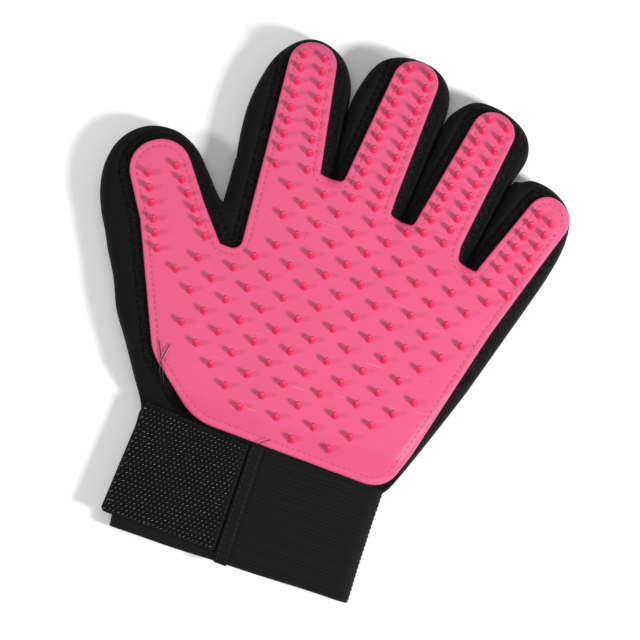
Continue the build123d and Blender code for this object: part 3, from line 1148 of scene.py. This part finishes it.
def band(name, start, end, rows, rib_height, rib_pitch, ease=0.0):
    """Webbing swept round part of the cuff, with ribs on its outer face."""
    stations = np.linspace(start, end, int((end - start) / 1.6) + 2)
    points, faces = [], []
    wide = len(rows)
    for layer, share in ((0, 0.5), (1, -0.5)):
        for distance in stations:
            (x, z), (nx, nz) = cuff_path(distance)
            for y in rows:
                rib = rib_height * abs(math.cos(math.pi * y / rib_pitch)) if layer == 0 else 0.0
                edge = min(y, CUFF_LENGTH - y)
                rounding = 0.35 * max(0.0, 1 - edge / 0.6) if layer == 0 else 0.0
                wave = ease * noise.noise(Vector((distance / 16, y / 22, 3.0)))
                out = share * WEBBING * 0.78 + rib - rounding + wave
                drift = 0.5 * noise.noise(Vector((distance / 30, 9.0, 0.0)))
                draw_in = 3.4 * (1 - y / CUFF_LENGTH) * max(0.0, (-50.0 - x) / 36.0)
                to_left = min(1.0, max(0.0, (21.0 - x) / 8.0))
                reach_in = 3.4 * (y / CUFF_LENGTH) ** 3 * max(nz, 0) * to_left
                height = max(z + nz * out, 0.0)
                points.append((x + nx * out + draw_in, y + drift + reach_in, height))
    half = len(stations) * wide
    for i in range(len(stations) - 1):
        for j in range(wide - 1):
            a = i * wide + j
            faces.append((a, a + 1, a + wide + 1, a + wide))
            faces.append((a + half, a + wide + half, a + wide + 1 + half, a + 1 + half))
    for i in range(len(stations) - 1):
        low, high = i * wide, i * wide + wide - 1
        faces.append((low, low + wide, low + wide + half, low + half))
        faces.append((high, high + half, high + wide + half, high + wide))
    for j in range(wide - 1):
        last = (len(stations) - 1) * wide + j
        faces.append((j, j + half, j + 1 + half, j + 1))
        faces.append((last, last + 1, last + 1 + half, last + half))
    return new_piece(name, points, faces)


RIB_PITCH = 2.0
RIB_HEIGHT = 0.34
SEWN_GAP = 0.15
elastic_rows = np.arange(0.0, CUFF_LENGTH - 0.1, RIB_PITCH / 6)
elastic_end = BAND_STRAIGHT + BAND_ARC + BAND_BACK - SEWN_GAP
elastic = band("elastic_band", 0.0, elastic_end, elastic_rows, RIB_HEIGHT, RIB_PITCH, 0.35)
dress(elastic, "elastic")
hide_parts("cuff_elastic_band")
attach(elastic, "hand")
strap_rows = np.linspace(0.0, CUFF_LENGTH - 0.2, 60)
strap_start = BAND_STRAIGHT + BAND_ARC + BAND_BACK + SEWN_GAP
strap = band("strap_end", strap_start, BAND_WHOLE - SEWN_GAP, strap_rows, 0.10, 1.1, 0.25)
dress(strap, "strap")
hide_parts("cuff_strap_end")
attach(strap, "hand")
print("elastic:", len(elastic.data.polygons), "strap:", len(strap.data.polygons))

# %% [markdown]
# ## Joining strip and closure tab
# A narrow strip is sewn over the join between the elastic and the tab. The tab itself is a cloth
# backing with a patch of hook tape on it, sewn on a slight slant, as hand-fed sewing often is. Both
# are soft-edged slabs, so one helper makes a slab with rounded corners, a domed face and a slant.

# %% Soft slabs
TAB_LEFT, TAB_RIGHT, TAB_LOW, TAB_HIGH = -89.0, -36.0, 3.7, 50.3
# How far each sewn corner strays from the square tab: low left, low right, high left, high right.
TAB_STRAY = ((1.0, 1.2), (0.3, -1.0), (4.9, 5.9), (0.5, 1.3))


def slanted(points):
    """The tab's slight slant: each point strays by its share of the corners' strays."""
    points = np.array(points, float)
    across = (points[:, 0] - TAB_LEFT) / (TAB_RIGHT - TAB_LEFT)
    up = (points[:, 1] - TAB_LOW) / (TAB_HIGH - TAB_LOW)
    low_left, low_right, high_left, high_right = (np.array(stray) for stray in TAB_STRAY)
    low = low_left + (low_right - low_left) * across[:, None]
    high = high_left + (high_right - high_left) * across[:, None]
    points[:, :2] += low + (high - low) * up[:, None]
    return points


def slab(name, low, high, bottom, thick, radius, seed, pitch=1.2, swell=0.0):
    """A soft-edged sheet with round corners, gently uneven."""
    square = [(low[0], low[1]), (low[0], high[1]), (high[0], high[1]), (high[0], low[1])]
    outline = rounded([(corner, radius) for corner in square], 0.9)
    clouds = rings(outline, (0.15, 0.4), 0.9) + [hexagonal(low, high, pitch)]
    points, faces = fill(outline, [], well_inside(clouds, outline, 0.12), 0.25)
    gap, _ = nearest(points, outline)
    soft = min(0.45, thick / 2)
    rise = soft * (1 - np.sqrt(np.maximum(1 - np.clip(1 - gap / soft, 0, 1) ** 2, 0)))
    uneven = 0.12 * ripple(points, 11.0, seed) + swell * smoothstep(gap, 0, 6)
    over, under = bottom + thick - rise + uneven, bottom + rise * 0.6 + uneven
    solid, solid_faces = solid_sheet(points, over, under, faces)
    return new_piece(name, slanted(solid), solid_faces)


STRIP_LEFT = -35.2
strip_corner = (ELASTIC_END + 0.3, CUFF_LENGTH + 2.2)
strip = slab("joining_strip", (STRIP_LEFT, 0.0), strip_corner, CUFF_HEIGHT - 0.25, 1.45, 0.8, 7)
dress(strip, "strap")
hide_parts("cuff_joining_strip")
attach(strip, "hand")

TAB_REST = 11.35
BACKING_THICK = 0.8
tab_low, tab_high = (TAB_LEFT, TAB_LOW), (TAB_RIGHT, TAB_HIGH)
backing = slab("tab_backing_cloth", tab_low, tab_high, TAB_REST, BACKING_THICK, 2.0, 8)
dress(backing, "strap")
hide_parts("tab_backing")
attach(backing, "closure_tab")
TAPE_INSET = 0.4
tape_low = (TAB_LEFT + TAPE_INSET, TAB_LOW + TAPE_INSET)
tape_high = (TAB_RIGHT - TAPE_INSET, TAB_HIGH - TAPE_INSET)
tape = slab("hook_tape_ground", tape_low, tape_high, TAB_REST + BACKING_THICK, 0.75, 1.6, 8)
dress(tape, "tape")
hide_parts("tab_hook_tape")
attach(tape, "closure_tab")

# %% [markdown]
# ## Hooks
# Hook tape is a field of tiny nylon crooks, woven in slanted pairs. Each crook here is a bent filament:
# a stem that rises, leans along the slant and curls over. Their varied height and turn break up the
# highlights the way the real tape's do.

# %% The hook field
HOOK_ALONG, HOOK_ACROSS = 2.05, 1.75
HOOK_SIDES = 5
HOOK_HALF_WIDTH, HOOK_HALF_HEIGHT = 0.26, 0.20
HOOK_SLANT, HOOK_SLANT_SPREAD = 38, 14
HOOK_STRAY = 0.14
HOOK_LINE = [(-0.75, 0.0), (-0.5, 0.42), (-0.05, 0.66), (0.42, 0.62), (0.72, 0.36)]


def hook_field(name, low, high, base_height):
    """Bent filaments over the tape, slanting up to the right."""
    rng = random.Random(23)
    points, faces = [], []
    rows = int((high[1] - low[1]) / HOOK_ACROSS)
    columns = int((high[0] - low[0]) / HOOK_ALONG)
    for row in range(rows + 1):
        for column in range(columns + 1):
            x = low[0] + column * HOOK_ALONG + (row % 2) * HOOK_ALONG / 2
            y = low[1] + row * HOOK_ACROSS
            if x > high[0]:
                continue
            turn = math.radians(HOOK_SLANT + rng.uniform(-HOOK_SLANT_SPREAD, HOOK_SLANT_SPREAD))
            grow = rng.uniform(0.82, 1.12)
            dx, dy = math.cos(turn), math.sin(turn)
            x += rng.uniform(-HOOK_STRAY, HOOK_STRAY)
            y += rng.uniform(-HOOK_STRAY, HOOK_STRAY)
            first = len(points)
            for run, rise in HOOK_LINE:
                for k in range(HOOK_SIDES):
                    angle = 2 * math.pi * k / HOOK_SIDES
                    side = HOOK_HALF_WIDTH * math.cos(angle)
                    up = HOOK_HALF_HEIGHT * math.sin(angle)
                    hook_x = x + dx * run * grow - dy * side
                    hook_y = y + dy * run * grow + dx * side
                    points.append((hook_x, hook_y, base_height + rise * grow + up))
            faces += capped_tube(first, len(HOOK_LINE), HOOK_SIDES)
    return new_piece(name, slanted(points), faces)


hooks_low, hooks_high = (TAB_LEFT + 1.7, TAB_LOW + 1.6), (TAB_RIGHT - 1.5, TAB_HIGH - 1.4)
hooks = hook_field("hooks", hooks_low, hooks_high, TAB_REST + 1.5)
dress(hooks, "hooks")
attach(hooks, "closure_tab")
print("hook faces:", len(hooks.data.polygons))

# %% [markdown]
# ## Sewing on the cuff
# Rows of black lockstitch hold the strip and the tape down. They are small, but from the side they tell
# the eye that the cuff is sewn, not glued.

# %% Cuff stitching
def stitched(name, line, height, body, closed=True, pitch=2.4):
    """A row of black stitches along a line on the pattern."""
    places, ways = along_line(line, pitch, closed)
    row = capsule_row(name, slanted(places), ways, np.full(len(places), height), 1.6, 0.17)
    dress(row, "black_thread")
    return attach(row, body)


strip_top = CUFF_HEIGHT + 1.25
for number, x in enumerate((STRIP_LEFT + 1.3, ELASTIC_END - 1.0)):
    seam = [(x, 1.5), (x, CUFF_LENGTH - 1.5)]
    stitched(f"strip_stitches_{number + 1}", seam, strip_top, "hand", closed=False)
SEAM_INSET = 0.9
frame_left, frame_right = TAB_LEFT + SEAM_INSET, TAB_RIGHT - SEAM_INSET
frame_low, frame_high = TAB_LOW + SEAM_INSET, TAB_HIGH - SEAM_INSET
tape_frame = [
    (frame_left, frame_low), (frame_left, frame_high), (frame_right, frame_high), (frame_right, frame_low),
]
stitched("tape_stitches", tape_frame, TAB_REST + 1.62, "closure_tab")

# %% [markdown]
# ## Loose thread ends
# Three ends of black thread were left long where the seams finish at the heel. Each is a thin tube on
# a flowing curve, with one end tucked into the seam.

# %% Thread tails
def tail(name, points):
    """A loose end of thread along pattern points."""
    curve = bpy.data.curves.new(name, "CURVE")
    curve.dimensions = "3D"
    curve.bevel_depth = 0.2 * MM
    curve.bevel_resolution = 2
    spline = curve.splines.new("NURBS")
    spline.points.add(len(points) - 1)
    for point, place in zip(spline.points, to_frame(points)):
        point.co = (*place, 1.0)
    spline.order_u = 3
    spline.use_endpoint_u = True
    piece = bpy.data.objects.new(name, curve)
    bpy.context.scene.collection.objects.link(piece)
    curve.materials.append(FINISH["black_thread"])
    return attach(piece, "hand")


tail("thread_tail_1", [(-78.6, 64.8, 17.4), (-79.6, 67.6, 20.6), (-83.2, 75.0, 21.4), (-86.2, 81.8, 20.9)])
tail("thread_tail_2", [(-79.8, 65.6, 17.4), (-82.0, 69.2, 20.8), (-82.9, 74.2, 21.6), (-81.2, 81.8, 21.0)])
tail("thread_tail_3", [(-32.6, 51.6, 14.8), (-31.4, 53.0, 18.0), (-29.4, 54.4, 18.9), (-27.2, 55.8, 19.0)])

# %% [markdown]
# ## Table, light and camera
# The glove lies on a plain white table. A small lamp at mid height on the little-finger side throws
# each pin's shadow towards the thumb. A weaker one further off fills from the thumb side, a broad one
# overhead evens out the table, and a pale sky lifts the rest. The camera looks almost straight down.

# %% Stage
def plain(name, colour, rough):
    shader = Shader(name, Roughness=rough)
    where = shader.place()
    cloud = shader.noise(where, 3.0, 1.0)
    shade = coloured(*[c * 0.985 for c in colour])
    return shader.finish(shader.blend(cloud, coloured(*colour), shade))


HALF_TABLE = 1.2
TABLE_TOP = -0.0002
mesh = bpy.data.meshes.new("table")
corners = [(x * HALF_TABLE, y * HALF_TABLE, TABLE_TOP) for x, y in ((-1, -1), (1, -1), (1, 1), (-1, 1))]
mesh.from_pydata(corners, [], [(0, 1, 2, 3)])
table = bpy.data.objects.new("table", mesh)
bpy.context.scene.collection.objects.link(table)
mesh.materials.append(plain("table_white", (0.95, 0.95, 0.95), 0.7))

# %% Camera
VIEW_TURN = math.radians(18.0)
VIEW_TILT = math.radians(8.0)
VIEW_DISTANCE = 1.545
target = Vector((0.0104, -0.0048, 0.010))
image_down = Vector((math.sin(VIEW_TURN), -math.cos(VIEW_TURN), 0.0))
image_right = Vector((math.cos(VIEW_TURN), math.sin(VIEW_TURN), 0.0))
outward = Vector((0, 0, 1)) * math.cos(VIEW_TILT) + image_down * math.sin(VIEW_TILT)
camera_data = bpy.data.cameras.new("camera")
camera_data.lens = 200.0
camera_data.sensor_width = 36.0
camera = bpy.data.objects.new("camera", camera_data)
camera.location = target + outward * VIEW_DISTANCE
image_up = outward.cross(image_right)
camera.rotation_euler = Matrix((image_right, image_up, outward)).transposed().to_euler()
bpy.context.scene.collection.objects.link(camera)
bpy.context.scene.camera = camera


# %% Lights
def lamp(name, direction, elevation, distance, power, size):
    """A square soft lamp looking at the glove from one side."""
    angle = math.radians(elevation)
    flat = Vector((direction[0], direction[1], 0)).normalized()
    away = flat * math.cos(angle) + Vector((0, 0, math.sin(angle)))
    data = bpy.data.lights.new(name, "AREA")
    data.energy, data.size = power, size
    light = bpy.data.objects.new(name, data)
    light.location = away * distance
    light.rotation_euler = away.to_track_quat("Z", "Y").to_euler()
    bpy.context.scene.collection.objects.link(light)


lamp("key", (0.985, -0.174), elevation=41.0, distance=1.05, power=11.4, size=0.19)
lamp("fill", (-0.951, -0.309), elevation=38.0, distance=1.6, power=9.0, size=0.26)
lamp("overhead", (-0.1, 0.3), elevation=82.0, distance=1.6, power=5.0, size=1.0)
SKY_STRENGTH = 0.34
world = bpy.data.worlds.new("sky")
world.use_nodes = True
world.node_tree.nodes["Background"].inputs[0].default_value = (1.0, 1.0, 1.0, 1.0)
world.node_tree.nodes["Background"].inputs[1].default_value = SKY_STRENGTH
bpy.context.scene.world = world
bpy.context.scene.view_settings.view_transform = "Standard"
